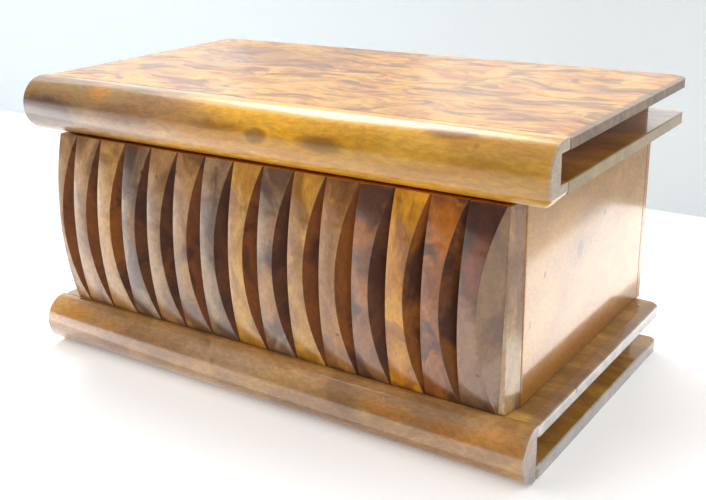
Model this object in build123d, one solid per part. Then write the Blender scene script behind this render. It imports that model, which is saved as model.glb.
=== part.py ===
# Book safe: a wooden box like a book on a book, with a hinged lid and a sliding slatted front
#
# X runs along the length, Y from the front (-) to the back (+), Z up. Lengths are in millimetres.
# The origin is the middle of the underside, at the centre of the whole box's length and depth.

from build123d import *
import os

# Body between the two books
body_length = 221.0
body_height = 82.8
body_depth = 121.6
side_thickness = 6.0
front_wall_thickness = 8.0
back_thickness = 10.6
back_ledge = 3.6

# Lid, a closed book lying flat with its round spine to the front
lid_end_overhang = 14.5
lid_front_overhang = 15.8
lid_lip_gap = 1.2
lid_spine_height = 23.7
lid_spine_round = 11.0
lid_cover = 4.4
lid_page_height = 10.5
lid_spine_wall = 8.4
lid_end_bevel_run = 7.0
lid_end_bevel_drop = 0.7
lid_corner_cut = 5.2

# Base, the lower book
base_end_overhang = 10.8
base_front_overhang = 20.0
base_spine_depth = 11.2
base_spine_round = 9.0
base_spine_wall = 6.4
base_cover = 5.2
base_page_height = 11.9
base_end_bevel_run = 4.5
base_end_bevel_drop = 0.6
base_corner_radius = 2.5

# Shared by both books
page_inset = 1.0
rail_width = 12.0
back_corner_radius = 4.0
edge_bevel_run = 0.6
edge_bevel_drop = 0.3

# Slatted front. Each slat is bowed in height and cut back to a valley on its right side, and the
# joints between the slats lean, so that their tops lie further right.
slat_count = 15
first_slat_width = 8.5
slat_lean = 2.4
slat_base_thickness = 4.3
slat_bow = 6.4
slat_end_proud = 0.6
facet_run = 7.6
facet_overcut = 1.5
carrier_thickness = 4.0
end_strip_width = 4.4
runner_length = 138.0
runner_from_end = 41.0
runner_height = 8.0
runner_flare = 2.0
runner_depth = 4.0
runner_above_base = 24.9
panel_travel = 34.0

# Sliding base spine on its dovetailed rail, with the key behind it
nose_height = 8.4
nose_flare = 1.0
key_pocket_length = 34.0
key_pocket_height = 6.6
key_pocket_depth = 8.2
key_pocket_from_end = 4.0
key_length = 29.0
key_shank_radius = 1.2
key_bow_radius = 3.6
key_bow_hole_radius = 2.0
key_bit_length = 4.0
key_bit_reach = 3.4
key_bit_thickness = 1.5

# Lock in the front wall, under the left end of the lid
lock_from_end = 25.0
lock_case_width = 26.0
lock_case_height = 22.0
lock_case_depth = 7.0
lock_case_wall = 1.2
lock_sink = 3.2
lock_plate_length = 36.0
lock_plate_width = 9.0
bolt_width = 12.0
bolt_thickness = 3.0
bolt_height = 14.0
bolt_notch_width = 4.0
bolt_notch_depth = 3.0
keyhole_radius = 1.6
keyhole_slot_width = 1.8
keyhole_slot_drop = 3.6
keyhole_below_plate = 16.0
strike_plate_length = 36.0
strike_plate_width = 8.0

# Butt hinges at the back
hinge_from_end = 41.0
hinge_length = 25.0
hinge_leaf_width = 7.0
hinge_knuckle_radius = 1.7
hinge_pin_radius = 0.8
hinge_knuckles = 3

# Brass plate, let into the wood flush, and countersunk wood screws with heads as deep as the plate.
# The screws are so small that a few sides make them round.
plate_thickness = 1.0
screw_head_radius = 1.6
screw_shank_radius = 0.8
screw_tip_radius = 0.4
screw_sides = 12
hinge_screw_length = 7.5
hinge_screw_offset = 8.0
lock_screw_length = 7.0
lock_screw_offset = 15.2
strike_screw_length = 3.6
strike_screw_offset = 15.2

# Clearances
lid_seam = 0.2
slide_gap = 0.3
dovetail_gap = 0.15
pin_gap = 0.05
knuckle_gap = 0.15
mortise_gap = 0.1
bolt_gap = 0.15
strike_gap = 0.4

# Levels and planes that several pieces share
lid_length = body_length + 2 * lid_end_overhang
lid_depth = body_depth + lid_front_overhang
lid_spine_depth = lid_front_overhang - lid_lip_gap
base_length = body_length + 2 * base_end_overhang
base_depth = body_depth + base_front_overhang
page_length = body_length - 2 * page_inset
base_height = 2 * base_cover + base_page_height
body_top = base_height + body_height
lid_bottom = body_top + lid_seam
lid_top = lid_bottom + 2 * lid_cover + lid_page_height
lid_spine_bottom = lid_top - lid_spine_height
hinge_level = body_top + lid_seam / 2
back_y = (base_depth + back_ledge) / 2 - back_ledge
lid_front_y = back_y - lid_depth
base_front_y = back_y - base_depth
lid_seam_y = lid_front_y + lid_spine_depth
base_seam_y = base_front_y + base_spine_depth
side_front_y = back_y - body_depth
panel_back_y = side_front_y - slide_gap
carrier_front_y = panel_back_y - carrier_thickness
valley_y = carrier_front_y - slat_base_thickness
panel_bottom = base_height + slide_gap
panel_top = lid_spine_bottom - slide_gap
slat_height = panel_top - panel_bottom
panel_left = -body_length / 2 + slide_gap
valley_right = body_length / 2 - slide_gap - end_strip_width
runner_left = runner_from_end - body_length / 2
runner_level = base_height + runner_above_base
hinge_offset = body_length / 2 - hinge_from_end
key_pocket_left = key_pocket_from_end - page_length / 2
lock_centre_x = lock_from_end - body_length / 2
hinge_pin_y = back_y + mortise_gap + hinge_knuckle_radius


def block(x_range, y_range, z_range):
    """A straight block between three pairs of limits."""
    corner = (min(x_range), min(y_range), min(z_range))
    sizes = [max(limits) - min(limits) for limits in (x_range, y_range, z_range)]
    return Pos(*corner) * Box(*sizes, align=(Align.MIN, Align.MIN, Align.MIN))


def along_x(face, x_start, x_end):
    """A section drawn as (y, z), drawn out along the length."""
    return extrude(Plane.YZ.offset(x_start) * face, amount=x_end - x_start)


def polygon(*points):
    return make_face(Polyline(*points, close=True))


def upright_rod(radius, x, y, z_start, z_end):
    """A round rod standing on its lower end."""
    length = z_end - z_start
    return Pos(x, y, z_start) * Cylinder(radius, length, align=(Align.CENTER, Align.CENTER, Align.MIN))


def cover_board(length, front, bottom, thickness, bevel_run, bevel_drop, front_radius):
    """A book's cover with rounded corners and a shallow bevel along the top of each end."""
    half = length / 2
    top = bottom + thickness
    shoulder = top - bevel_drop
    section = polygon(
        (-half, bottom),
        (half, bottom),
        (half, shoulder),
        (half - bevel_run, top),
        (bevel_run - half, top),
        (-half, shoulder),
    )
    bevelled = extrude(Plane.XZ.offset(-front) * section, amount=front - back_y)
    outline = polygon((-half, front), (half, front), (half, back_y), (-half, back_y))
    outline = fillet(outline.vertices().group_by(Axis.Y)[-1], back_corner_radius)
    if front_radius > 0:
        outline = fillet(outline.vertices().group_by(Axis.Y)[0], front_radius)
    return bevelled & extrude(Pos(0, 0, bottom) * outline, amount=thickness)


def round_spine(front, depth, round_depth, bottom, top):
    """Section of a spine with a round front, flat behind the round."""
    end = front + round_depth
    seam = front + depth
    nose = ThreePointArc((end, bottom), (front, (bottom + top) / 2), (end, top))
    rest = Polyline((end, top), (seam, top), (seam, bottom), (end, bottom))
    return make_face(nose + rest)


def dovetail(root_y, tip_y, middle, root_height, flare):
    """Dovetail section that widens by the flare on each side from its root to its tip."""
    root = root_height / 2
    tip = root + flare
    return polygon(
        (root_y, middle - root),
        (root_y, middle + root),
        (tip_y, middle + tip),
        (tip_y, middle - tip),
    )


def screw(x, y, level, length, direction, gap=0.0):
    """A countersunk screw with a tapered shank, pointing up (+1) or down (-1) from its flush head."""
    rings = (
        (screw_head_radius, 0),
        (screw_shank_radius, plate_thickness),
        (screw_tip_radius, length),
    )
    sections = [
        Pos(x, y, level + direction * depth) * RegularPolygon(radius + gap, screw_sides)
        for radius, depth in rings
    ]
    return loft(sections, ruled=True)


hinge_screw_y = back_y - hinge_leaf_width / 2
hinge_screw_places = [
    (side * hinge_offset + end * hinge_screw_offset, hinge_screw_y)
    for side in (-1, 1)
    for end in (-1, 1)
]
lock_plate_front = side_front_y + front_wall_thickness - lock_sink - lock_case_wall
lock_case_front = side_front_y + front_wall_thickness - lock_sink
lock_case_back = lock_case_front + lock_case_depth
lock_case_top = body_top - plate_thickness
lock_middle_y = (lock_case_front + lock_case_back) / 2
lock_screw_y = (lock_plate_front + side_front_y + front_wall_thickness) / 2
lock_screw_places = [(lock_centre_x + end * lock_screw_offset, lock_screw_y) for end in (-1, 1)]
strike_screw_places = [(lock_centre_x + end * strike_screw_offset, lock_middle_y) for end in (-1, 1)]
keyhole_level = body_top - keyhole_below_plate


def screws(places, level, length, direction):
    """The same screw at each place."""
    return Compound(children=[screw(x, y, level, length, direction) for x, y in places])


def drilled(piece, places, level, length, direction):
    """The piece with a hole that clears each screw."""
    for x, y in places:
        piece = piece - screw(x, y, level, length, direction, pin_gap)
    return piece


def page_rails(prefix, bottom, height, front):
    """The back and end rails between two covers, seen at the ends as the book's pages."""
    half = page_length / 2
    z_range = (bottom, bottom + height)
    inner_front = front + rail_width
    inner_back = back_y - rail_width
    return {
        prefix + "_rear_rail": block((-half, half), (inner_back, back_y), z_range),
        prefix + "_left_rail": block((-half, rail_width - half), (inner_front, inner_back), z_range),
        prefix + "_right_rail": block((half - rail_width, half), (inner_front, inner_back), z_range),
    }


def lid():
    """Two covers, the rails between them and the round spine along the front."""
    parts = {}
    page_bottom = lid_bottom + lid_cover
    page_top = page_bottom + lid_page_height
    channel_y = lid_front_y + lid_spine_wall
    parts["lid_top_cover"] = cover_board(
        lid_length, lid_seam_y, page_top, lid_cover, lid_end_bevel_run, lid_end_bevel_drop, 0
    )
    lower = cover_board(
        lid_length, lid_seam_y, lid_bottom, lid_cover, edge_bevel_run, edge_bevel_drop, 0
    )
    lower = drilled(lower, hinge_screw_places, lid_bottom, hinge_screw_length, 1)
    lower = drilled(lower, strike_screw_places, lid_bottom, strike_screw_length, 1)
    for side in (-1, 1):
        lower = lower - leaf_mortise(side, lid_bottom, lid_bottom + plate_thickness)
    lower = lower - strike_mortise() - bolt_way(lid_bottom, page_bottom, strike_gap)
    parts["lid_lower_cover"] = lower

    rails = page_rails("lid", page_bottom, lid_page_height, channel_y)
    rails["lid_rear_rail"] = drilled(
        rails["lid_rear_rail"], hinge_screw_places, lid_bottom, hinge_screw_length, 1
    )
    parts.update(rails)
    half_page = page_length / 2
    parts["lid_front_rail"] = block(
        (-half_page, half_page), (channel_y, channel_y + rail_width), (page_bottom, page_top)
    )

    half = lid_length / 2
    section = round_spine(lid_front_y, lid_spine_depth, lid_spine_round, lid_spine_bottom, lid_top)
    channel = polygon(
        (channel_y, page_bottom), (lid_seam_y, page_bottom), (lid_seam_y, page_top), (channel_y, page_top)
    )
    spine = along_x(section - channel, -half, half)
    # The lower right corner is cut back under the cover
    cut = polygon(
        (half - lid_corner_cut, lid_spine_bottom),
        (half, lid_spine_bottom),
        (half, lid_spine_bottom + lid_corner_cut),
    )
    cutter = extrude(Plane.XZ.offset(-lid_front_y) * cut, amount=-lid_spine_depth)
    parts["lid_spine"] = spine - cutter
    return parts


def leaf_mortise(side, z_start, z_end):
    """The pocket for one hinge leaf, open to the back."""
    half = hinge_length / 2 + mortise_gap
    centre = side * hinge_offset
    front = back_y - hinge_leaf_width
    return block((centre - half, centre + half), (front, back_y), (z_start, z_end))


def strike_mortise():
    """The pocket for the strike plate in the lid's underside."""
    half = strike_plate_length / 2
    return block(
        (lock_centre_x - half, lock_centre_x + half),
        (lock_middle_y - strike_plate_width / 2, lock_middle_y + strike_plate_width / 2),
        (lid_bottom, lid_bottom + plate_thickness),
    )


def bolt_way(z_start, z_end, gap):
    """The upright space of the bolt, with a gap round it."""
    half_width = bolt_width / 2 + gap
    half_thickness = bolt_thickness / 2 + gap
    return block(
        (lock_centre_x - half_width, lock_centre_x + half_width),
        (lock_middle_y - half_thickness, lock_middle_y + half_thickness),
        (z_start, z_end),
    )


def body():
    """Sides, back and the hidden front wall that carries the slatted panel and the lock."""
    parts = {}
    half = body_length / 2
    inner = half - side_thickness
    height = (base_height, body_top)
    parts["left_side"] = block((-half, -inner), (side_front_y, back_y), height)
    parts["right_side"] = block((inner, half), (side_front_y, back_y), height)

    back_face = back_y + back_ledge
    back = block((-inner, inner), (back_face - back_thickness, back_y), height)
    back = back + block((-half, half), (back_y, back_face), height)
    for side in (-1, 1):
        centre = side * hinge_offset
        reach = hinge_length / 2 + mortise_gap
        back = back - leaf_mortise(side, body_top - plate_thickness, body_top)
        back = back - block(
            (centre - reach, centre + reach),
            (back_y, back_face),
            (hinge_level - hinge_knuckle_radius - knuckle_gap, body_top),
        )
    parts["back_panel"] = drilled(back, hinge_screw_places, body_top, hinge_screw_length, -1)

    wall_back = side_front_y + front_wall_thickness
    wall = block((-inner, inner), (side_front_y, wall_back), height)
    groove_floor = panel_back_y + runner_depth + dovetail_gap
    groove_height = runner_height + 2 * dovetail_gap
    groove_end = runner_left + runner_length + panel_travel + slide_gap
    groove = dovetail(side_front_y, groove_floor, runner_level, groove_height, runner_flare)
    wall = wall - along_x(groove, runner_left - slide_gap, groove_end)
    case_half = lock_case_width / 2 + mortise_gap
    wall = wall - block(
        (lock_centre_x - case_half, lock_centre_x + case_half),
        (lock_case_front, wall_back),
        (lock_case_top - lock_case_height - mortise_gap, lock_case_top),
    )
    plate_half = lock_plate_length / 2 + mortise_gap
    wall = wall - block(
        (lock_centre_x - plate_half, lock_centre_x + plate_half),
        (lock_plate_front, wall_back),
        (lock_case_top, body_top),
    )
    wall = wall - keyhole(side_front_y, lock_case_front)
    parts["front_wall"] = drilled(wall, lock_screw_places, body_top, lock_screw_length, -1)
    return parts


def keyhole(y_start, y_end):
    """A round hole with a slot below it, right through from front to back."""
    length = y_end - y_start
    centre = Pos(lock_centre_x, (y_start + y_end) / 2, keyhole_level)
    round_part = centre * Rot(90, 0, 0) * Cylinder(keyhole_radius, length)
    half = keyhole_slot_width / 2
    slot = block(
        (lock_centre_x - half, lock_centre_x + half),
        (y_start, y_end),
        (keyhole_level - keyhole_slot_drop, keyhole_level),
    )
    return round_part + slot


def lock():
    """A small till lock: case, cover, top plate in one with the case, bolt and strike."""
    parts = {}
    half = lock_case_width / 2
    case_bottom = lock_case_top - lock_case_height
    case = block(
        (lock_centre_x - half, lock_centre_x + half),
        (lock_case_front, lock_case_back),
        (case_bottom, lock_case_top),
    )
    inner = half - lock_case_wall
    case = case - block(
        (lock_centre_x - inner, lock_centre_x + inner),
        (lock_case_front + lock_case_wall, lock_case_back),
        (case_bottom + lock_case_wall, lock_case_top),
    )
    plate_half = lock_plate_length / 2
    plate = block(
        (lock_centre_x - plate_half, lock_centre_x + plate_half),
        (lock_plate_front, lock_plate_front + lock_plate_width),
        (lock_case_top, body_top),
    )
    case = case + plate - bolt_way(lock_case_top, body_top, bolt_gap)
    case = case - keyhole(lock_case_front, lock_case_front + lock_case_wall)
    parts["lock_case"] = drilled(case, lock_screw_places, body_top, lock_screw_length, -1)

    parts["lock_cover"] = block(
        (lock_centre_x - half, lock_centre_x + half),
        (lock_case_back, lock_case_back + lock_case_wall),
        (case_bottom, lock_case_top),
    )
    bolt = bolt_way(body_top - bolt_height, body_top, 0)
    notch_half = bolt_notch_width / 2
    notch = block(
        (lock_centre_x - notch_half, lock_centre_x + notch_half),
        (lock_case_front, lock_case_back),
        (body_top - bolt_height, body_top - bolt_height + bolt_notch_depth),
    )
    parts["lock_bolt"] = bolt - notch
    strike = strike_mortise() - bolt_way(lid_bottom, lid_bottom + plate_thickness, strike_gap)
    parts["strike_plate"] = drilled(strike, strike_screw_places, lid_bottom, strike_screw_length, 1)
    parts["lock_screws"] = screws(lock_screw_places, body_top, lock_screw_length, -1)
    parts["strike_screws"] = screws(strike_screw_places, lid_bottom, strike_screw_length, 1)
    return parts


def hinge_leaf(side, upper):
    """One leaf with every second knuckle. The upper leaf has the even ones, the lower the odd."""
    centre = side * hinge_offset
    start = centre - hinge_length / 2
    pitch = hinge_length / hinge_knuckles
    if upper:
        z_range = (lid_bottom, lid_bottom + plate_thickness)
        direction = 1
    else:
        z_range = (body_top - plate_thickness, body_top)
        direction = -1
    front = back_y - hinge_leaf_width
    leaf = block((start, start + hinge_length), (front, back_y), z_range)
    bore = Pos(centre, hinge_pin_y, hinge_level) * Rot(0, 90, 0) * Cylinder(
        hinge_pin_radius + pin_gap, hinge_length
    )
    for index in range(1 if upper else 0, hinge_knuckles, 2):
        x_start = start + index * pitch + knuckle_gap / 2
        length = pitch - knuckle_gap
        tube = Pos(x_start + length / 2, hinge_pin_y, hinge_level) * Rot(0, 90, 0) * Cylinder(
            hinge_knuckle_radius, length
        )
        neck = block((x_start, x_start + length), (back_y, hinge_pin_y), z_range)
        leaf = leaf + tube + neck
    leaf = leaf - bore
    level = z_range[0] if upper else z_range[1]
    places = [place for place in hinge_screw_places if place[0] * side > 0]
    return drilled(leaf, places, level, hinge_screw_length, direction)


def hinges():
    """Two brass butt hinges, each of two leaves and a pin, with their screws."""
    parts = {}
    for name, side in (("left", -1), ("right", 1)):
        parts[f"{name}_hinge_lid_leaf"] = hinge_leaf(side, True)
        parts[f"{name}_hinge_body_leaf"] = hinge_leaf(side, False)
        parts[f"{name}_hinge_pin"] = Pos(side * hinge_offset, hinge_pin_y, hinge_level) * Rot(
            0, 90, 0
        ) * Cylinder(hinge_pin_radius, hinge_length)
    parts["lid_hinge_screws"] = screws(hinge_screw_places, lid_bottom, hinge_screw_length, 1)
    parts["body_hinge_screws"] = screws(hinge_screw_places, body_top, hinge_screw_length, -1)
    return parts


def leaning(*plan):
    """A prism over the plan as high as the slats, sheared to the right by their lean."""
    lean = Vector(slat_lean, 0, slat_height)
    return extrude(Pos(0, 0, panel_bottom) * polygon(*plan), amount=lean.length, dir=lean)


def slat(left, right):
    """One slat: bowed in height, with a slanting facet cut down its right side to the valley."""
    end_y = valley_y - slat_end_proud
    crest_y = valley_y - slat_bow
    middle = (panel_bottom + panel_top) / 2
    bow = ThreePointArc((end_y, panel_bottom), (crest_y, middle), (end_y, panel_top))
    back = Polyline(
        (end_y, panel_top),
        (carrier_front_y, panel_top),
        (carrier_front_y, panel_bottom),
        (end_y, panel_bottom),
    )
    bowed = along_x(make_face(bow + back), panel_left, right + slat_lean)
    # The facet's line rises by the slat's bow over its run, and is drawn on past the crest
    run = facet_overcut * facet_run
    rise = facet_overcut * slat_bow
    return bowed & leaning(
        (left, carrier_front_y),
        (right, carrier_front_y),
        (right, valley_y),
        (right - run, valley_y - rise),
        (left, valley_y - rise),
    )


def front_panel():
    """The slats side by side on a carrier board, which runs on a dovetail behind."""
    parts = {}
    z_range = (panel_bottom, panel_top)
    first_right = panel_left + first_slat_width
    pitch = (valley_right - first_right) / (slat_count - 1)
    for index in range(slat_count):
        right = first_right + index * pitch
        parts[f"slat_{index + 1:02d}"] = slat(right - pitch, right)
    carrier = block((panel_left, valley_right + slat_lean), (carrier_front_y, panel_back_y), z_range)
    parts["slat_carrier"] = carrier & leaning(
        (first_right - pitch, panel_back_y),
        (valley_right, panel_back_y),
        (valley_right, carrier_front_y),
        (first_right - pitch, carrier_front_y),
    )
    # The strip slants back from the top end of the last valley, and leans against the last slat
    strip_right = valley_right + end_strip_width
    wedge = polygon(
        (valley_right, panel_back_y),
        (strip_right, panel_back_y),
        (valley_right + slat_lean, valley_y),
        (valley_right, valley_y),
    )
    parts["end_strip"] = extrude(Pos(0, 0, panel_bottom) * wedge, amount=slat_height) & leaning(
        (valley_right, panel_back_y),
        (strip_right, panel_back_y),
        (strip_right, valley_y),
        (valley_right, valley_y),
    )
    runner_tip = panel_back_y + runner_depth
    runner = dovetail(panel_back_y, runner_tip, runner_level, runner_height, runner_flare)
    parts["panel_runner"] = along_x(runner, runner_left, runner_left + runner_length)
    return parts


def base():
    """Two covers with rails between them, and the round spine that slides along the front rail."""
    parts = {}
    rail_front = base_seam_y + slide_gap
    parts["base_top_cover"] = cover_board(
        base_length,
        rail_front,
        base_cover + base_page_height,
        base_cover,
        base_end_bevel_run,
        base_end_bevel_drop,
        base_corner_radius,
    )
    parts["base_bottom_cover"] = cover_board(
        base_length,
        rail_front,
        0,
        base_cover,
        edge_bevel_run,
        edge_bevel_drop,
        base_corner_radius,
    )
    nose_front = base_front_y + base_spine_wall + slide_gap
    middle = base_height / 2
    half_page = page_length / 2
    inner_front = rail_front + rail_width
    rail = block(
        (-half_page, half_page), (rail_front, inner_front), (base_cover, base_cover + base_page_height)
    )
    nose = dovetail(rail_front, nose_front, middle, nose_height, nose_flare)
    rail = rail + along_x(nose, -half_page, half_page)
    pocket_floor = middle - key_pocket_height / 2
    rail = rail - block(
        (key_pocket_left, key_pocket_left + key_pocket_length),
        (nose_front, nose_front + key_pocket_depth),
        (pocket_floor, pocket_floor + key_pocket_height),
    )
    parts["base_front_rail"] = rail
    parts.update(page_rails("base", base_cover, base_page_height, rail_front))

    spine_bottom = slide_gap
    section = round_spine(base_front_y, base_spine_depth, base_spine_round, spine_bottom, base_height)
    channel = dovetail(
        base_seam_y, nose_front - slide_gap, middle, nose_height + 2 * dovetail_gap, nose_flare
    )
    half = base_length / 2
    # The groove is closed at the right end, where the rail's nose stops the spine
    spine = along_x(section, -half, half)
    parts["base_spine"] = spine - along_x(channel, -half, half_page + slide_gap)
    parts["key"] = key(pocket_floor, nose_front + key_pocket_depth / 2)
    return parts


def key(floor, centre_y):
    """A small key with a ring bow, lying flat on the floor of its pocket."""
    left = key_pocket_left + (key_pocket_length - key_length) / 2
    level = floor + key_shank_radius
    bow_x = left + key_bow_radius
    thickness = 2 * key_shank_radius
    bow = upright_rod(key_bow_radius, bow_x, centre_y, floor, floor + thickness)
    bow = bow - upright_rod(key_bow_hole_radius, bow_x, centre_y, floor, floor + thickness)
    shank_start = bow_x + key_bow_hole_radius + key_shank_radius / 2
    shank_end = left + key_length
    shank = Pos((shank_start + shank_end) / 2, centre_y, level) * Rot(0, 90, 0) * Cylinder(
        key_shank_radius, shank_end - shank_start
    )
    bit_end = shank_end - key_shank_radius
    bit = block(
        (bit_end - key_bit_length, bit_end),
        (centre_y, centre_y + key_bit_reach),
        (level - key_bit_thickness / 2, level + key_bit_thickness / 2),
    )
    return bow + shank + bit


os.makedirs("parts", exist_ok=True)
pieces = {}
for group in (lid, body, lock, hinges, front_panel, base):
    pieces.update(group())
for name, piece in pieces.items():
    export_step(piece, f"parts/{name}.step")
print(len(pieces), "nodes, height", lid_top, "depth", base_depth + back_ledge)
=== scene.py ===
import math
import random

import bpy
from mathutils import Matrix, Vector

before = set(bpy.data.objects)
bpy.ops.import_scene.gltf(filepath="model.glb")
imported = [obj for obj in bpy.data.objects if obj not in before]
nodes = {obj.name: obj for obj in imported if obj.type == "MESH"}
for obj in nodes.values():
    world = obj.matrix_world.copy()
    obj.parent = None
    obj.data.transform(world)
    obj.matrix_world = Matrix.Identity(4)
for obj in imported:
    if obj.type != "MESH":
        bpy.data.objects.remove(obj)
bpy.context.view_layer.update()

# Book safe in burl wood: the finish of every piece, the stage, the lamps and the camera. Metres throughout.
random.seed(7)
print("frame loaded:", len(nodes), "nodes")


# Small helpers for building node trees

def paint(red, green, blue):
    # a colour as it is seen on a screen, 0 to 255, in linear values
    def linear(v):
        v = v / 255
        return v / 12.92 if v <= 0.04045 else ((v + 0.055) / 1.055) ** 2.4
    return (linear(red), linear(green), linear(blue), 1)


def feed(tree, socket, value):
    # a link where the value comes out of another node, and a plain setting otherwise
    if isinstance(value, bpy.types.NodeSocket):
        tree.links.new(value, socket)
    else:
        socket.default_value = value


def node(tree, kind, inputs=(), **settings):
    made = tree.nodes.new("ShaderNode" + kind)
    for name, value in settings.items():
        setattr(made, name, value)
    for name, value in dict(inputs).items():
        feed(tree, made.inputs[name], value)
    return made


def calc(tree, operation, first, second=0.0, third=0.0, clamp=False):
    sums = {0: first, 1: second}
    if operation == "MULTIPLY_ADD":
        sums[2] = third
    return node(tree, "Math", sums, operation=operation, use_clamp=clamp).outputs[0]


def vectorCalc(tree, operation, first, second):
    return node(tree, "VectorMath", {0: first, 1: second}, operation=operation).outputs[0]


def noise(tree, vector, scale, detail=3.0, roughness=0.5, distortion=0.0):
    return node(tree, "TexNoise", {
        "Vector": vector, "Scale": scale, "Detail": detail, "Roughness": roughness, "Distortion": distortion})


def spread(tree, value, low, high, newLow=0.0, newHigh=1.0):
    # a soft step from low to high
    return node(tree, "MapRange", {
        "Value": value, "From Min": low, "From Max": high, "To Min": newLow, "To Max": newHigh},
        interpolation_type="SMOOTHSTEP").outputs[0]


def blend(tree, factor, first, second, mode="MIX"):
    made = node(tree, "Mix", data_type="RGBA", blend_type=mode, clamp_factor=True)
    for place, value in ((0, factor), (6, first), (7, second)):  # where a colour Mix node takes them
        feed(tree, made.inputs[place], value)
    return made.outputs[2]


def newGroup(name, inputs, outputs):
    # inputs are (name, kind, default) and outputs (name, kind), with kind Float or Vector
    tree = bpy.data.node_groups.new(name, "ShaderNodeTree")
    for label, kind, default in inputs:
        socket = tree.interface.new_socket(label, in_out="INPUT", socket_type="NodeSocket" + kind)
        socket.default_value = default
    for label, kind in outputs:
        tree.interface.new_socket(label, in_out="OUTPUT", socket_type="NodeSocket" + kind)
    start = tree.nodes.new("NodeGroupInput")
    end = tree.nodes.new("NodeGroupOutput")
    return tree, start.outputs, end.inputs


def useGroup(tree, group, inputs):
    made = tree.nodes.new("ShaderNodeGroup")
    made.node_tree = group
    for name, value in inputs.items():
        feed(tree, made.inputs[name], value)
    return made.outputs


# Shared effects. Each noise is its scale, where that is fixed, and its detail, roughness and distortion

burlDetail = {
    "bend": (22, 2), "cloud": (5, 0.55, 0.6), "blotch": (4, 0.5, 0.8), "grain": (4, 0.65, 0.4),
    "wide": (11, 1, 0.5, 0.5), "slow": (2, 0.5, 0.4), "slowShare": 0.35, "rare": (30, 1),
    "eyeSize": (0.16, 0.05), "rareRange": (0.55, 0.62),
}


def makeBurlFigure(detail):
    # cloudy figure, dark blotches, fine grain, rings and small eyes of burl wood
    tree, given, out = newGroup("burlFigure", [
        ("Offset", "Vector", (0, 0, 0)), ("Stretch", "Vector", (1, 1, 1)), ("Swirl", "Float", 0.02),
        ("Cloud Scale", "Float", 40), ("Blotch Scale", "Float", 18), ("Grain Scale", "Float", 300),
        ("Eye Scale", "Float", 90), ("Ring Count", "Float", 9)],
        [("Cloud", "Float"), ("Blotch", "Float"), ("Grain", "Float"), ("Eyes", "Float"), ("Rings", "Float"),
         ("Wide", "Float")])
    place = node(tree, "TexCoord").outputs["Object"]
    moved = vectorCalc(tree, "ADD", place, given["Offset"])
    bent = noise(tree, moved, *detail["bend"]).outputs["Color"]
    bent = vectorCalc(tree, "SUBTRACT", bent, (0.5, 0.5, 0.5))
    push = node(tree, "VectorMath", {0: bent, "Scale": given["Swirl"]}, operation="SCALE").outputs[0]
    swirled = vectorCalc(tree, "ADD", moved, push)
    drawn = vectorCalc(tree, "MULTIPLY", swirled, given["Stretch"])
    cloud = noise(tree, drawn, given["Cloud Scale"], *detail["cloud"]).outputs["Fac"]
    blotch = noise(tree, drawn, given["Blotch Scale"], *detail["blotch"]).outputs["Fac"]
    grain = noise(tree, drawn, given["Grain Scale"], *detail["grain"]).outputs["Fac"]
    wide = noise(tree, moved, *detail["wide"]).outputs["Fac"]
    slowScale = calc(tree, "MULTIPLY", given["Cloud Scale"], detail["slowShare"])
    slow = noise(tree, drawn, slowScale, *detail["slow"]).outputs["Fac"]
    turns = calc(tree, "MULTIPLY", slow, calc(tree, "MULTIPLY", given["Ring Count"], 2 * math.pi))
    rings = calc(tree, "MULTIPLY_ADD", calc(tree, "SINE", turns), 0.5, 0.5)
    cell = node(tree, "TexVoronoi", {"Vector": swirled, "Scale": given["Eye Scale"], "Randomness": 1.0},
                feature="F1").outputs["Distance"]
    rare = noise(tree, swirled, *detail["rare"]).outputs["Fac"]
    eyes = calc(tree, "MULTIPLY", spread(tree, cell, *detail["eyeSize"]),
                spread(tree, rare, *detail["rareRange"]))
    figure = {"Cloud": cloud, "Blotch": blotch, "Grain": grain, "Eyes": eyes, "Rings": rings, "Wide": wide}
    for name, value in figure.items():
        tree.links.new(value, out[name])
    return tree


wearDetail = {"samples": 4, "sharpness": (0.99, 0.85), "noiseDetail": 3, "brokenRange": (0.35, 0.6)}


def makeEdgeWear(detail):
    # a mask along rounded arrises, broken up as rubbing leaves it
    tree, given, out = newGroup("edgeWear", [
        ("Width", "Float", 0.0006), ("Break Up", "Float", 120)], [("Mask", "Float")])
    soft = node(tree, "Bevel", {"Radius": given["Width"]}, samples=detail["samples"]).outputs[0]
    true = node(tree, "NewGeometry").outputs["Normal"]
    same = node(tree, "VectorMath", {0: soft, 1: true}, operation="DOT_PRODUCT").outputs["Value"]
    edge = spread(tree, same, *detail["sharpness"])
    place = node(tree, "TexCoord").outputs["Object"]
    rubbed = noise(tree, place, given["Break Up"], detail["noiseDetail"]).outputs["Fac"]
    broken = spread(tree, rubbed, *detail["brokenRange"])
    tree.links.new(calc(tree, "MULTIPLY", edge, broken, clamp=True), out["Mask"])
    return tree


patchDetail = {"torn": (90, 4, 0.6, 1.0), "tornReach": 4}


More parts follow.
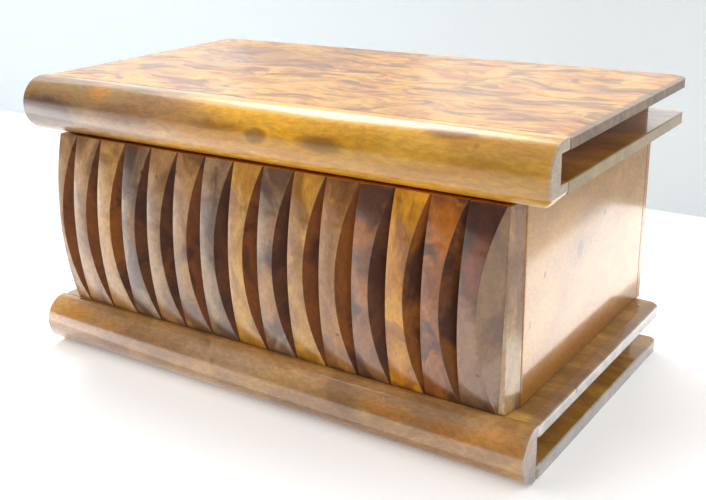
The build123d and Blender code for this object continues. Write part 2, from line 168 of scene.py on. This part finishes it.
def makePatch(detail):
    # one soft-edged oval patch at a place on the wood
    tree, given, out = newGroup("placedPatch", [
        ("Centre", "Vector", (0, 0, 0)), ("Radii", "Vector", (0.01, 0.01, 0.01)),
        ("Softness", "Float", 0.4), ("Ragged", "Float", 0.3)], [("Mask", "Float")])
    place = node(tree, "TexCoord").outputs["Object"]
    away = vectorCalc(tree, "SUBTRACT", place, given["Centre"])
    shaped = vectorCalc(tree, "DIVIDE", away, given["Radii"])
    reach = node(tree, "VectorMath", {0: shaped}, operation="LENGTH").outputs["Value"]
    torn = noise(tree, place, *detail["torn"]).outputs["Fac"]
    torn = calc(tree, "MULTIPLY", calc(tree, "SUBTRACT", torn, 0.5), given["Ragged"])
    reach = calc(tree, "ADD", reach, calc(tree, "MULTIPLY", torn, detail["tornReach"]))
    inner = calc(tree, "SUBTRACT", 1.0, given["Softness"])
    outer = calc(tree, "ADD", 1.0, given["Softness"])
    tree.links.new(spread(tree, reach, outer, inner), out["Mask"])
    return tree


varnishDetail = {"ripple": (60, 2), "smear": (25, 4, 0.6), "smearReach": 0.25, "grainHeight": 0.12}


def makeVarnish(detail):
    # ripples and faint rubbing of a hand-laid glossy varnish
    tree, given, out = newGroup("varnishFilm", [
        ("Grain", "Float", 0.5), ("Ripple", "Float", 0.3), ("Roughness", "Float", 0.3)],
        [("Roughness", "Float"), ("Height", "Float")])
    place = node(tree, "TexCoord").outputs["Object"]
    ripple = noise(tree, place, *detail["ripple"]).outputs["Fac"]
    smear = noise(tree, place, *detail["smear"]).outputs["Fac"]
    uneven = calc(tree, "MULTIPLY", calc(tree, "SUBTRACT", smear, 0.5), detail["smearReach"])
    rough = calc(tree, "ADD", given["Roughness"], uneven)
    height = calc(tree, "ADD", calc(tree, "MULTIPLY", ripple, given["Ripple"]),
                  calc(tree, "MULTIPLY", given["Grain"], detail["grainHeight"]))
    tree.links.new(rough, out["Roughness"])
    tree.links.new(height, out["Height"])
    return tree


burlFigure = makeBurlFigure(burlDetail)
edgeWear = makeEdgeWear(wearDetail)
placedPatch = makePatch(patchDetail)
varnishFilm = makeVarnish(varnishDetail)
print("shared effects built")


def newMaterial(name):
    material = bpy.data.materials.new(name)
    material.use_nodes = True
    tree = material.node_tree
    shader = tree.nodes["Principled BSDF"]
    return material, tree, shader


# What every varnished wood has unless its own look says otherwise
commonWood = {
    "offset": (0, 0, 0), "stretch": (1, 1, 1), "swirl": 0.02,
    "cloudScale": 45, "blotchScale": 20, "grainScale": 700, "eyeScale": 90, "ringCount": 9,
    "rings": 0.14, "grain": 0.2, "grainRange": (0.3, 0.7), "cloudRange": (0.38, 0.62),
    "darkRange": (0.52, 0.6), "darkness": 0.8, "dullRange": (0.56, 0.7), "dullness": 0.4, "eyes": 0.7,
    "patches": (),
    # the facet colours below are painted shade on the right-facing cut facets
    "facet": 0, "facetFacing": (0.35, 0.6), "facetRange": (0.38, 0.6), "facetDry": 0.95, "facetRoughness": 0.25,
    "facetShadeColour": paint(120, 66, 28), "facetDeepShade": paint(70, 34, 14),
    # the orange below is painted reflected light on the upward-facing tops of the slats
    "endFacing": (0.8, 0.95), "topReflectionColour": paint(214, 130, 20),
    "wear": 0.3, "wearWidth": 0.0007, "roughness": 0.34, "specular": 0.2, "ior": 1.5,
    "coat": 1.0, "coatRoughness": 0.1, "coatIor": 1.5, "bump": 0.25, "bumpDistance": 0.0004,
    "pale": paint(206, 142, 66), "warm": paint(168, 94, 30), "dark": paint(88, 48, 32),
    "deep": paint(44, 24, 18), "dull": paint(132, 92, 68),
}


def burlWood(name, look):
    # varnished burl: figure colours, placed patches, cut facets, rings, grain, wear and a clear coat
    look = {**commonWood, **look}
    material, tree, shader = newMaterial(name)
    figure = useGroup(tree, burlFigure, {
        "Offset": look["offset"], "Stretch": look["stretch"], "Swirl": look["swirl"],
        "Cloud Scale": look["cloudScale"], "Blotch Scale": look["blotchScale"],
        "Grain Scale": look["grainScale"], "Eye Scale": look["eyeScale"], "Ring Count": look["ringCount"]})
    colour = blend(tree, spread(tree, figure["Cloud"], *look["cloudRange"]), look["warm"], look["pale"])
    dull = calc(tree, "MULTIPLY", spread(tree, figure["Wide"], *look["dullRange"]), look["dullness"])
    colour = blend(tree, dull, colour, look["dull"])
    dark = calc(tree, "MULTIPLY", spread(tree, figure["Blotch"], *look["darkRange"]), look["darkness"])
    colour = blend(tree, dark, colour, look["dark"])
    for centre, radii, tint, strength in look["patches"]:
        mask = useGroup(tree, placedPatch, {"Centre": centre, "Radii": radii})["Mask"]
        colour = blend(tree, calc(tree, "MULTIPLY", mask, strength), colour, tint)
    # painted shade: the cut facets, which face right, are coloured darker by the way they face, and hold less
    # varnish; painted reflected light: the upward-facing tops are coloured a saturated orange
    facing = node(tree, "SeparateXYZ", {0: node(tree, "TexCoord").outputs["Normal"]})
    facet = calc(tree, "MULTIPLY", spread(tree, facing.outputs["X"], *look["facetFacing"]), look["facet"])
    upperReflection = calc(tree, "MULTIPLY", spread(tree, facing.outputs["Z"], *look["endFacing"]), look["facet"])
    facetFigure = spread(tree, figure["Cloud"], *look["facetRange"])
    facetShadeTone = blend(tree, facetFigure, look["facetDeepShade"], look["facetShadeColour"])
    colour = blend(tree, facet, colour, facetShadeTone)
    colour = blend(tree, upperReflection, colour, look["topReflectionColour"])
    ringShade = spread(tree, figure["Rings"], 0, 1, 1 - look["rings"], 1 + look["rings"] / 2)
    grainShade = spread(tree, figure["Grain"], *look["grainRange"], 1 - look["grain"], 1 + look["grain"] / 2)
    shade = calc(tree, "MULTIPLY", ringShade, grainShade)
    shadeColour = node(tree, "CombineColor", {0: shade, 1: shade, 2: shade}).outputs[0]
    colour = blend(tree, 1.0, colour, shadeColour, "MULTIPLY")
    colour = blend(tree, calc(tree, "MULTIPLY", figure["Eyes"], look["eyes"]), colour, look["deep"])
    worn = useGroup(tree, edgeWear, {"Width": look["wearWidth"]})["Mask"]
    colour = blend(tree, calc(tree, "MULTIPLY", worn, look["wear"]), colour, look["pale"])
    film = useGroup(tree, varnishFilm, {"Grain": figure["Grain"], "Roughness": look["roughness"]})
    rough = calc(tree, "MULTIPLY_ADD", facet, look["facetRoughness"], film["Roughness"])
    bump = node(tree, "Bump", {
        "Height": film["Height"], "Strength": look["bump"], "Distance": look["bumpDistance"]})
    tree.links.new(colour, shader.inputs["Base Color"])
    tree.links.new(rough, shader.inputs["Roughness"])
    tree.links.new(bump.outputs[0], shader.inputs["Normal"])
    shader.inputs["Coat Weight"].default_value = look["coat"]
    if look["facet"] > 0:
        coat = calc(tree, "MULTIPLY_ADD", facet, -look["facetDry"] * look["coat"], look["coat"])
        tree.links.new(coat, shader.inputs["Coat Weight"])
    shader.inputs["Coat Roughness"].default_value = look["coatRoughness"]
    shader.inputs["Coat IOR"].default_value = look["coatIor"]
    shader.inputs["Specular IOR Level"].default_value = look["specular"]
    shader.inputs["IOR"].default_value = look["ior"]
    return material


# What every metal has
commonMetal = {
    "cloud": (160, 4, 0.6), "cloudRange": (0.4, 0.62), "wear": 0.6, "wearWidth": 0.0003, "wearBreakUp": 600,
    "scratch": (900, 3, 0.7), "roughnessSpread": 0.3, "bump": 0.12, "bumpDistance": 0.0001,
}


def metal(name, look):
    # cast or rolled metal with dull tarnish, fine scratches and rubbed arrises
    look = {**commonMetal, **look}
    material, tree, shader = newMaterial(name)
    place = node(tree, "TexCoord").outputs["Object"]
    cloudy = noise(tree, place, *look["cloud"]).outputs["Fac"]
    colour = blend(tree, spread(tree, cloudy, *look["cloudRange"]), look["bright"], look["tarnished"])
    worn = useGroup(tree, edgeWear, {"Width": look["wearWidth"], "Break Up": look["wearBreakUp"]})["Mask"]
    colour = blend(tree, calc(tree, "MULTIPLY", worn, look["wear"]), colour, look["rubbed"])
    brushed = vectorCalc(tree, "MULTIPLY", place, look["brushing"])
    scratch = noise(tree, brushed, *look["scratch"]).outputs["Fac"]
    smoothest = look["roughness"] - look["roughnessSpread"] / 2
    rough = calc(tree, "MULTIPLY_ADD", cloudy, look["roughnessSpread"], smoothest)
    bump = node(tree, "Bump", {"Height": scratch, "Strength": look["bump"], "Distance": look["bumpDistance"]})
    tree.links.new(colour, shader.inputs["Base Color"])
    tree.links.new(rough, shader.inputs["Roughness"])
    tree.links.new(bump.outputs[0], shader.inputs["Normal"])
    shader.inputs["Metallic"].default_value = 1.0
    return material


def dress(name, material):
    mesh = nodes[name].data
    mesh.materials.clear()
    mesh.materials.append(material)


# A patch is its centre, its reach along each axis, its colour and its strength

# Lid: a streaky top, a spine that goes from dull brown at the left to gold at the right with a painted orange
# reflection along its underside, a plain lower board

lidTopLook = {
    "offset": (0.31, 0.12, 0.4), "stretch": (0.46, 1.2, 1.0), "swirl": 0.034,
    "cloudScale": 104, "blotchScale": 84, "eyeScale": 70, "cloudRange": (0.34, 0.6),
    "darkRange": (0.48, 0.64), "darkness": 0.72, "dullRange": (0.5, 0.66), "dullness": 0.35,
    "pale": paint(234, 168, 58), "warm": paint(196, 120, 24), "dark": paint(110, 60, 30),
    "dull": paint(164, 108, 64), "coat": 0.6, "coatRoughness": 0.24, "specular": 0.1,
    "patches": (
        ((0.1245, 0.0, 0.121), (0.0022, 0.12, 0.01), paint(104, 92, 84), 0.75),
        ((-0.06, 0.03, 0.1246), (0.05, 0.022, 0.02), paint(122, 62, 34), 0.35)),
}
lidSpineLook = {
    "offset": (0.05, 0.3, 0.2), "stretch": (0.34, 1.0, 1.3), "swirl": 0.014,
    "cloudScale": 44, "blotchScale": 26, "darkRange": (0.56, 0.66), "darkness": 0.6, "dullness": 0.3,
    "ringCount": 8, "rings": 0.1, "eyes": 0.25, "coat": 0.8, "coatRoughness": 0.14,
    "pale": paint(236, 178, 66), "warm": paint(204, 140, 40), "dark": paint(128, 80, 34),
    "dull": paint(176, 128, 70),
    "patches": (
        ((-0.088, -0.066, 0.113), (0.050, 0.04, 0.04), paint(156, 124, 98), 0.7),
        ((-0.112, -0.066, 0.112), (0.022, 0.02, 0.006), paint(84, 62, 52), 0.8),
        ((-0.040, -0.067, 0.119), (0.022, 0.02, 0.006), paint(176, 130, 84), 0.6),
        ((-0.064, -0.068, 0.115), (0.014, 0.02, 0.004), paint(150, 108, 78), 0.7),
        ((-0.081, -0.063, 0.1225), (0.007, 0.006, 0.0035), paint(214, 146, 52), 0.6),
        ((0.030, -0.060, 0.121), (0.046, 0.012, 0.007), paint(250, 180, 30), 0.85),
        ((0.0064, -0.0683, 0.1142), (0.005, 0.008, 0.0026), paint(98, 62, 42), 0.6),
        ((0.036, -0.0683, 0.1145), (0.009, 0.008, 0.003), paint(104, 66, 40), 0.55),
        ((0.086, -0.062, 0.123), (0.010, 0.005, 0.0015), paint(128, 84, 40), 0.7),
        # painted reflection: a bright orange band along the rounded underside of the spine, standing for the
        # slats mirrored in it
        ((0.022, -0.0675, 0.1022), (0.112, 0.009, 0.0042), paint(255, 186, 20), 0.9),
        ((0.125, -0.062, 0.113), (0.0008, 0.03, 0.03), paint(190, 178, 160), 0.7)),
}
lidLowerLook = {
    "offset": (0.7, 0.2, 0.1), "stretch": (0.5, 1.2, 1.0), "cloudScale": 38, "darkness": 0.4, "eyes": 0.4,
    "pale": paint(206, 152, 78), "warm": paint(176, 118, 50),
    "patches": (
        ((0.125, 0.0, 0.107), (0.0008, 0.12, 0.01), paint(168, 132, 56), 0.85),),
}
dress("lid_top_cover", burlWood("lidTopWood", lidTopLook))
dress("lid_spine", burlWood("lidSpineWood", lidSpineLook))
dress("lid_lower_cover", burlWood("lidLowerWood", lidLowerLook))

# Base: a board with darker bands along its ends and a pale grey right end face, a lower board and the sliding
# spine

baseBoardLook = {
    "offset": (0.2, 0.9, 0.3), "stretch": (0.45, 1.5, 1.0), "cloudScale": 44,
    "darkRange": (0.55, 0.66), "darkness": 0.5,
    "pale": paint(220, 172, 86), "warm": paint(182, 136, 62), "dark": paint(118, 82, 48),
    "patches": (
        ((0.1195, 0.0, 0.024), (0.0036, 0.12, 0.006), paint(150, 112, 84), 0.6),
        ((-0.1195, 0.0, 0.024), (0.0036, 0.12, 0.006), paint(150, 112, 84), 0.6),
        ((0.1213, 0.0, 0.012), (0.0008, 0.12, 0.02), paint(196, 194, 190), 0.8)),
}
baseLowerLook = {**baseBoardLook, "offset": (0.5, 0.5, 0.9)}
baseSpineLook = {
    "offset": (0.6, 0.1, 0.8), "stretch": (0.5, 1.0, 1.2), "cloudScale": 48, "blotchScale": 30,
    "darkRange": (0.5, 0.62), "darkness": 0.45, "dullRange": (0.42, 0.6), "dullness": 0.65,
    "eyes": 0.25, "coatRoughness": 0.08,
    "pale": paint(216, 164, 98), "warm": paint(182, 132, 74), "dark": paint(128, 90, 64),
    "dull": paint(168, 128, 94),
    "patches": (
        ((-0.104, -0.0695, 0.0188), (0.009, 0.006, 0.003), paint(208, 140, 48), 0.65),
        ((-0.083, -0.0696, 0.0185), (0.008, 0.006, 0.002), paint(200, 138, 56), 0.4),
        ((-0.050, -0.0715, 0.016), (0.020, 0.01, 0.005), paint(150, 114, 94), 0.3),
        ((-0.014, -0.0715, 0.017), (0.022, 0.01, 0.004), paint(206, 164, 124), 0.7),
        ((0.1213, -0.067, 0.011), (0.0008, 0.03, 0.03), paint(178, 168, 168), 0.7),
        ((0.066, -0.071, 0.0168), (0.012, 0.006, 0.0025), paint(206, 132, 40), 0.5),
        ((0.092, -0.0715, 0.0162), (0.011, 0.006, 0.003), paint(208, 134, 38), 0.55),
        ((0.1129, -0.0699, 0.0178), (0.010, 0.006, 0.0035), paint(214, 140, 40), 0.6)),
}
dress("base_top_cover", burlWood("baseBoardWood", baseBoardLook))
dress("base_bottom_cover", burlWood("baseLowerWood", baseLowerLook))
dress("base_spine", burlWood("baseSpineWood", baseSpineLook))

# Body: plain golden sides and back with a few small knots; the right side also has a painted shade band along
# its top and a painted reflection band along its foot

rightSideLook = {
    "offset": (0.9, 0.4, 0.6), "stretch": (1.0, 0.6, 1.2), "cloudScale": 26, "cloudRange": (0.3, 0.7),
    "darkRange": (0.62, 0.74), "darkness": 0.35, "dullness": 0.15, "eyes": 0.25, "rings": 0.08,
    "pale": paint(212, 154, 62), "warm": paint(190, 128, 42), "dark": paint(132, 84, 40),
    "coat": 0.6, "coatRoughness": 0.1, "specular": 0.1,
    "patches": (
        # painted shade: a saturated golden band along the top, under the lid overhang, where the sheen stops
        ((0.1105, 0.0, 0.102), (0.002, 0.14, 0.013), paint(184, 126, 20), 0.9),
        # painted reflection: a golden band along the foot, standing for the base's ledge mirrored in the side
        ((0.1105, 0.0, 0.022), (0.002, 0.14, 0.010), paint(172, 106, 10), 0.85),
        ((0.1105, -0.0031, 0.0678), (0.002, 0.0028, 0.0032), paint(74, 52, 48), 0.85),
        ((0.1105, -0.0031, 0.0678), (0.004, 0.0075, 0.0085), paint(150, 104, 66), 0.35),
        ((0.1105, -0.0357, 0.0683), (0.002, 0.0012, 0.0014), paint(110, 70, 46), 0.8),
        ((0.1105, 0.0216, 0.0763), (0.002, 0.0010, 0.0012), paint(96, 60, 44), 0.8),
        ((0.1105, -0.0471, 0.053), (0.002, 0.0012, 0.0016), paint(110, 72, 48), 0.7)),
}
leftSideLook = {
    **rightSideLook, "offset": (0.1, 0.8, 0.2),
    "patches": (
        ((-0.1105, 0.02, 0.055), (0.002, 0.002, 0.0024), paint(84, 56, 46), 0.8),),
}
backLook = {
    **rightSideLook, "offset": (0.4, 0.6, 0.1), "stretch": (0.6, 1.0, 1.2),
    "patches": (
        ((0.035, 0.0726, 0.048), (0.0026, 0.002, 0.003), paint(80, 54, 46), 0.8),
        ((-0.071, 0.0726, 0.081), (0.0016, 0.002, 0.0018), paint(92, 60, 46), 0.7)),
}
dress("right_side", burlWood("rightSideWood", rightSideLook))
dress("left_side", burlWood("leftSideWood", leftSideLook))
dress("back_panel", burlWood("backWood", backLook))
print("boards dressed")

# Slats: each is cut from burl of its own tone

# the facet colours in each tone are painted shade on that slat's right-facing facets; the deepRed one is
# painted lighter
slatTones = {
    "greyTan": {
        "pale": paint(196, 150, 104), "warm": paint(156, 114, 74), "dark": paint(104, 70, 48),
        "darkness": 0.5, "facetShadeColour": paint(131, 73, 20)},
    "tan": {
        "pale": paint(210, 162, 92), "warm": paint(176, 126, 62), "dark": paint(112, 72, 46),
        "darkness": 0.5, "facetShadeColour": paint(146, 81, 16)},
    "umber": {
        "pale": paint(184, 138, 84), "warm": paint(142, 98, 52), "dark": paint(90, 56, 36),
        "darkness": 0.6, "facetShadeColour": paint(123, 66, 18)},
    "golden": {
        "pale": paint(216, 160, 66), "warm": paint(184, 124, 38), "dark": paint(112, 66, 32),
        "darkness": 0.5, "facetShadeColour": paint(133, 70, 14)},
    "honey": {
        "pale": paint(192, 134, 60), "warm": paint(152, 98, 40), "dark": paint(92, 52, 28),
        "darkness": 0.6, "facetShadeColour": paint(150, 83, 14)},
    "amber": {
        "pale": paint(226, 156, 28), "warm": paint(194, 118, 14), "dark": paint(112, 56, 16),
        "darkness": 0.5, "facetShadeColour": paint(155, 87, 14)},
    "smoky": {
        "pale": paint(172, 136, 98), "warm": paint(126, 94, 66), "dark": paint(78, 52, 40),
        "darkness": 0.75, "darkRange": (0.46, 0.58), "facetShadeColour": paint(104, 56, 18)},
    "mottled": {
        "pale": paint(196, 120, 34), "warm": paint(136, 74, 26), "dark": paint(76, 38, 22),
        "darkness": 0.9, "darkRange": (0.46, 0.56), "blotchScale": 60, "facetShadeColour": paint(136, 77, 18)},
    "plum": {
        "pale": paint(164, 108, 58), "warm": paint(118, 72, 44), "dark": paint(68, 40, 34),
        "darkness": 0.8, "darkRange": (0.46, 0.58), "facetShadeColour": paint(96, 55, 24)},
    "deepRed": {
        "pale": paint(126, 74, 46), "warm": paint(98, 52, 34), "dark": paint(62, 34, 28),
        "darkness": 0.8, "darkRange": (0.46, 0.58), "facetShadeColour": paint(152, 114, 74),
        "facetDeepShade": paint(120, 88, 64), "facetDry": 0.3},
}
slatTone = {
    "slat_01": "greyTan", "slat_02": "greyTan", "slat_03": "tan", "slat_04": "smoky", "slat_05": "umber",
    "slat_06": "umber", "slat_07": "smoky", "slat_08": "golden", "slat_09": "smoky", "slat_10": "golden",
    "slat_11": "honey", "slat_12": "plum", "slat_13": "amber", "slat_14": "mottled", "slat_15": "deepRed",
}
slatLook = {
    "stretch": (1.2, 1.2, 0.62), "swirl": 0.026, "cloudScale": 60, "blotchScale": 44, "eyeScale": 120,
    "rings": 0.1, "dullness": 0.15, "wear": 0.05, "wearWidth": 0.0005, "coat": 0.8, "coatRoughness": 0.11,
}
slatPatches = {
    "slat_02": (
        ((-0.0945, -0.066, 0.060), (0.006, 0.01, 0.014), paint(140, 104, 74), 0.6),),
    "slat_04": (
        ((-0.063, -0.066, 0.066), (0.005, 0.01, 0.008), paint(190, 122, 54), 0.35),),
    "slat_06": (
        ((-0.034, -0.066, 0.048), (0.006, 0.01, 0.010), paint(206, 148, 70), 0.6),),
    "slat_09": (
        ((0.008, -0.066, 0.050), (0.005, 0.01, 0.012), paint(206, 138, 64), 0.6),
        ((0.012, -0.066, 0.078), (0.004, 0.01, 0.005), paint(176, 104, 44), 0.5)),
    "slat_12": (
        ((0.051, -0.066, 0.083), (0.004, 0.01, 0.006), paint(196, 118, 44), 0.6),
        ((0.053, -0.066, 0.062), (0.006, 0.01, 0.006), paint(186, 116, 50), 0.35)),
    "slat_14": (
        ((0.086, -0.066, 0.088), (0.005, 0.01, 0.010), paint(208, 122, 24), 0.6),),
    "slat_15": (
        ((0.100, -0.066, 0.078), (0.005, 0.01, 0.012), paint(150, 84, 50), 0.55),
        ((0.096, -0.066, 0.042), (0.008, 0.01, 0.022), paint(176, 134, 98), 0.6)),
}
endStripLook = {
    **slatLook, **slatTones["greyTan"], "offset": (0.3, 0.3, 0.9),
    "patches": (
        # painted highlight: a pale patch low on the end strip
        ((0.108, -0.064, 0.036), (0.006, 0.01, 0.020), paint(222, 188, 132), 0.55),),
}
for nodeName, tone in slatTone.items():
    look = {**slatLook, **slatTones[tone], "offset": tuple(random.uniform(0, 1) for axis in range(3))}
    look["patches"] = slatPatches.get(nodeName, ())
    look["facet"] = 1
    dress(nodeName, burlWood(nodeName + "Wood", look))
dress("end_strip", burlWood("endStripWood", endStripLook))
print("slats dressed")

# Rails that stand for the pages, and the plain wood that is out of sight

pageLook = {
    "stretch": (0.25, 0.25, 3.2), "swirl": 0.004, "cloudScale": 60, "grainScale": 900, "ringCount": 14,
    "rings": 0.2, "grain": 0.3, "darkness": 0.25, "eyes": 0.1,
    "pale": paint(186, 128, 62), "warm": paint(140, 88, 36),
    "coat": 0.5, "coatRoughness": 0.25, "roughness": 0.45,
}
basePageLook = {**pageLook, "coat": 0.25}
innerLook = {
    "stretch": (0.2, 1.4, 1.4), "swirl": 0.006, "cloudScale": 36, "grainScale": 800, "ringCount": 12,
    "rings": 0.16, "grain": 0.25, "darkness": 0.2, "eyes": 0.15,
    "pale": paint(204, 156, 100), "warm": paint(172, 120, 68),
    "coat": 0.15, "coatRoughness": 0.4, "roughness": 0.55,
}
pageWood = burlWood("pageWood", pageLook)
basePageWood = burlWood("basePageWood", basePageLook)
innerWood = burlWood("innerWood", innerLook)
for nodeName in nodes:
    if nodeName.endswith("_rail"):
        dress(nodeName, basePageWood if nodeName.startswith("base_") else pageWood)
for nodeName in ("front_wall", "slat_carrier", "panel_runner"):
    dress(nodeName, innerWood)
print("rails and inner wood dressed")

# Fittings

brassLook = {
    "bright": paint(206, 170, 92), "tarnished": paint(146, 112, 58), "rubbed": paint(236, 208, 140),
    "brushing": (1.0, 6.0, 6.0), "roughness": 0.34,
}
screwLook = {**brassLook, "bright": paint(214, 182, 110), "brushing": (1.0, 1.0, 1.0)}
keyLook = {
    **brassLook, "bright": paint(178, 146, 84), "tarnished": paint(112, 86, 50), "roughness": 0.42,
}
boltLook = {
    "bright": paint(186, 184, 180), "tarnished": paint(128, 122, 116), "rubbed": paint(220, 218, 214),
    "brushing": (6.0, 6.0, 1.0), "roughness": 0.36,
}
brass = metal("brass", brassLook)
screwBrass = metal("screwBrass", screwLook)
boltSteel = metal("boltSteel", boltLook)
keyBrass = metal("keyBrass", keyLook)
for side in ("left", "right"):
    for part in ("hinge_lid_leaf", "hinge_body_leaf", "hinge_pin"):
        dress(side + "_" + part, brass)
for nodeName in ("lock_case", "lock_cover", "strike_plate"):
    dress(nodeName, brass)
for nodeName in ("lid_hinge_screws", "body_hinge_screws", "lock_screws", "strike_screws"):
    dress(nodeName, screwBrass)
dress("lock_bolt", boltSteel)
dress("key", keyBrass)
print("fittings dressed")

# Arrises: every piece's edges are rounded a little. Blender stops the rounding where a plate is too thin for it

arrisLook = {
    "weld": 0.00001, "segments": 2, "sharperThan": 28,  # metres, count, degrees
    "boardOrPlate": 0.0005, "slat": 0.00015, "boltOrKey": 0.00012, "screws": 0.00006,
}


def softenEdges(piece, width, look):
    weld = piece.modifiers.new("weld", "WELD")
    weld.merge_threshold = look["weld"]
    bevel = piece.modifiers.new("arris", "BEVEL")
    bevel.width = width
    bevel.segments = look["segments"]
    bevel.limit_method = "ANGLE"
    bevel.angle_limit = math.radians(look["sharperThan"])
    bevel.harden_normals = True


for nodeName, piece in nodes.items():
    if nodeName.endswith("_screws"):
        kind = "screws"
    elif nodeName in ("lock_bolt", "key"):
        kind = "boltOrKey"
    elif nodeName.startswith("slat_") or nodeName == "end_strip":
        kind = "slat"
    else:
        kind = "boardOrPlate"
    softenEdges(piece, arrisLook[kind], arrisLook)
print("arrises softened")

# Stage: a white floor and a pale wall, which can't be seen from behind

stageLook = {
    "floorColour": paint(250, 250, 250), "wallColour": paint(236, 245, 250), "roughness": 0.9,
    "reach": 3.0, "wallDistance": 0.272, "wallHeight": 0.42, "floorLift": 0.3, "wallLift": 0.22,
}


def makeSheet(name, corners, tint, lift, roughness):
    # lift is the light that only the camera, the varnish and the metal see in it
    mesh = bpy.data.meshes.new(name)
    mesh.from_pydata(corners, [], [(0, 1, 2, 3)])
    piece = bpy.data.objects.new(name, mesh)
    bpy.context.scene.collection.objects.link(piece)
    material, tree, shader = newMaterial(name)
    shader.inputs["Base Color"].default_value = tint
    shader.inputs["Roughness"].default_value = roughness
    shader.inputs["Emission Color"].default_value = tint
    path = node(tree, "LightPath").outputs
    seen = calc(tree, "MAXIMUM", path["Is Camera Ray"], path["Is Glossy Ray"])
    seen = calc(tree, "MAXIMUM", seen, path["Is Transmission Ray"])
    tree.links.new(calc(tree, "MULTIPLY", seen, lift), shader.inputs["Emission Strength"])
    front = calc(tree, "SUBTRACT", 1.0, node(tree, "NewGeometry").outputs["Backfacing"])
    tree.links.new(front, shader.inputs["Alpha"])
    mesh.materials.append(material)


def makeStage(look):
    reach, wall, top = look["reach"], look["wallDistance"], look["wallHeight"]
    floorCorners = [(-reach, -reach, 0), (reach, -reach, 0), (reach, reach, 0), (-reach, reach, 0)]
    wallCorners = [(-reach, wall, 0), (reach, wall, 0), (reach, wall, top), (-reach, wall, top)]
    makeSheet("floor", floorCorners, look["floorColour"], look["floorLift"], look["roughness"])
    makeSheet("wall", wallCorners, look["wallColour"], look["wallLift"], look["roughness"])


makeStage(stageLook)
print("stage set")

# Lamps: a soft box overhead, a soft one at each side, and what only the varnish and the metal mirror:
# the bright cloth in front, at the right and behind, and a bright ceiling

lampLooks = {
    "softBoxAbove": {
        "place": (-0.5, 0.6, 1.2), "target": (0, 0, 0.06), "size": (0.9, 0.8), "power": 15},
    "softLeft": {
        "place": (-0.9, -0.9, 0.9), "target": (0, 0, 0.06), "size": (0.9, 0.9), "power": 7,
        "unmirrored": True},
    "softRight": {
        "place": (1.0, 0.3, 0.7), "target": (0, 0, 0.06), "size": (0.8, 0.8), "power": 2.6},
    "nearCloth": {
        "place": (-0.25, -0.134, 0.001), "target": (-0.25, -0.134, 1), "size": (1.1, 0.112), "power": 0.52,
        "mirroredOnly": True},
    "farCloth": {
        "place": (-0.08, -0.445, 0.001), "target": (-0.08, -0.445, 1), "size": (0.76, 0.51), "power": 0.48,
        "mirroredOnly": True},
    "clothAtRight": {
        "place": (0.166, 0.08, 0.001), "target": (0.166, 0.08, 1), "size": (0.06, 0.38), "power": 0.23,
        "mirroredOnly": True},
    "brightCeiling": {
        "place": (-0.5, 0.6, 1.25), "target": (0, 0, 0.06), "size": (1.5, 1.3), "power": 12,
        "mirroredOnly": True},
    "clothBehindRight": {
        "place": (-0.02, 0.27, 0.24), "target": (-0.02, 0, 0.24), "size": (0.2, 0.18), "power": 0.06,
        "mirroredOnly": True},
    "clothBehindLeft": {
        "place": (-0.38, 0.27, 0.24), "target": (-0.38, 0, 0.24), "size": (0.2, 0.18), "power": 0.045,
        "mirroredOnly": True},
}


def makeLamp(name, look):
    lamp = bpy.data.lights.new(name, "AREA")
    lamp.shape = "RECTANGLE"
    lamp.size, lamp.size_y = look["size"]
    lamp.energy = look["power"]
    holder = bpy.data.objects.new(name, lamp)
    holder.location = look["place"]
    aim = Vector(look["target"]) - Vector(look["place"])
    holder.rotation_euler = aim.to_track_quat("-Z", "Y").to_euler()
    holder.visible_camera = False
    holder.visible_diffuse = not look.get("mirroredOnly", False)
    holder.visible_glossy = not look.get("unmirrored", False)
    bpy.context.scene.collection.objects.link(holder)


for name, look in lampLooks.items():
    makeLamp(name, look)

roomLook = {"low": 0.12, "high": 0.75, "from": 0.2, "to": 0.9}


def makeRoom(look):
    # dim near the horizon and bright overhead
    world = bpy.data.worlds.new("room")
    bpy.context.scene.world = world
    world.use_nodes = True
    tree = world.node_tree
    direction = node(tree, "TexCoord").outputs["Generated"]
    height = node(tree, "SeparateXYZ", {0: direction}).outputs["Z"]
    strength = spread(tree, height, look["from"], look["to"], look["low"], look["high"])
    background = tree.nodes["Background"]
    background.inputs["Color"].default_value = (1, 1, 1, 1)
    tree.links.new(strength, background.inputs["Strength"])


makeRoom(roomLook)
print("lamps and room set")

# Camera: where the photograph was taken from, in metres, degrees and millimetres of lens

viewpoint = {
    "place": (0.248475, -0.359780, 0.202731), "azimuth": 34.317, "elevation": 19.643, "roll": -1.272,
    "lens": 52.614,
}


def makeCamera(view):
    azimuth, elevation, roll = (math.radians(view[k]) for k in ("azimuth", "elevation", "roll"))
    forward = Vector((
        -math.sin(azimuth) * math.cos(elevation),
        math.cos(azimuth) * math.cos(elevation),
        -math.sin(elevation)))
    level = Vector((math.cos(azimuth), math.sin(azimuth), 0))
    above = level.cross(forward)
    right = level * math.cos(roll) + above * math.sin(roll)
    up = above * math.cos(roll) - level * math.sin(roll)
    data = bpy.data.cameras.new("camera")
    data.lens = view["lens"]
    data.sensor_fit = "HORIZONTAL"
    holder = bpy.data.objects.new("camera", data)
    bpy.context.scene.collection.objects.link(holder)
    turn = Matrix((right, up, -forward)).transposed().to_4x4()
    holder.matrix_world = Matrix.Translation(view["place"]) @ turn
    bpy.context.scene.camera = holder


makeCamera(viewpoint)
bpy.context.scene.view_settings.view_transform = "Standard"

print("scene done")
